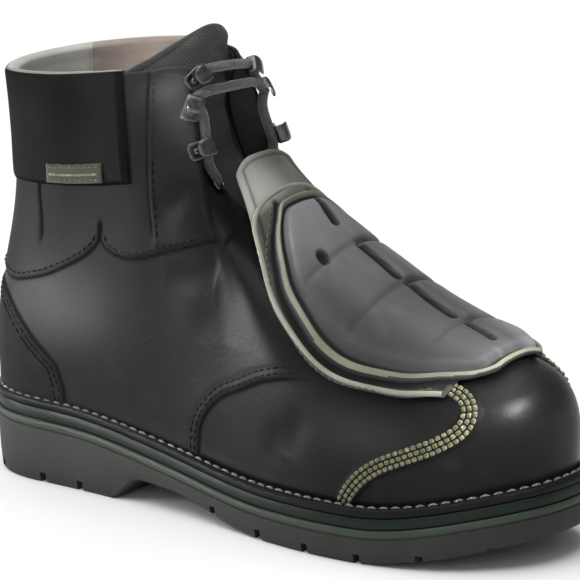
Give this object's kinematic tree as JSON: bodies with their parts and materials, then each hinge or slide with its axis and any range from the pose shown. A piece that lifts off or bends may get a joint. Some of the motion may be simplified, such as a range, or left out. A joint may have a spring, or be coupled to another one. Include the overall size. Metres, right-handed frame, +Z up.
{
  "type": "safety boot",
  "caption": "Right lace-up leather safety boot: hollow upper, padded collar and tongue, lugged rubber sole, lace hooks and a sewn-on guard over the instep.",
  "frame": {"origin": "on the floor, under the middle of the sole's bounding box", "axes": "+X to the toe, +Y to the medial (inner) side of this right boot, +Z up"},
  "size_m": [0.312, 0.1065, 0.2144],
  "materials": {
    "outsole_rubber": "dark grey moulded rubber, matt",
    "midsole_rubber": "dark green-black rubber, matt",
    "welt": "black stitched welt",
    "footbed": "taupe felt",
    "black_leather": "smooth black leather, soft sheen",
    "collar": "matt black padded leather",
    "tongue": "matt black padded fabric",
    "guard_leather": "grey leather, satin",
    "guard_pad": "dark grey moulded pad",
    "lace": "dark grey braided cord",
    "dark_nickel": "dark nickel plate"
  },
  "bodies": {
    "root": {"outsole": "outsole_rubber", "midsole": "midsole_rubber", "welt": "welt", "insole": "footbed", "upper": "black_leather", "collar_pad": "collar", "tongue": "tongue", "guard_flap": "guard_leather", "guard_pad": "guard_pad", "hook_low_lat": "dark_nickel", "hook_middle_lat": "dark_nickel", "hook_top_lat": "dark_nickel", "eyelet_lat": "dark_nickel", "hook_low_med": "dark_nickel", "hook_middle_med": "dark_nickel", "hook_top_med": "dark_nickel", "eyelet_med": "dark_nickel", "lace_bar_1": "lace", "lace_bar_2": "lace", "lace_run_lat": "lace", "lace_run_med": "lace"}
  },
  "joints": []
}
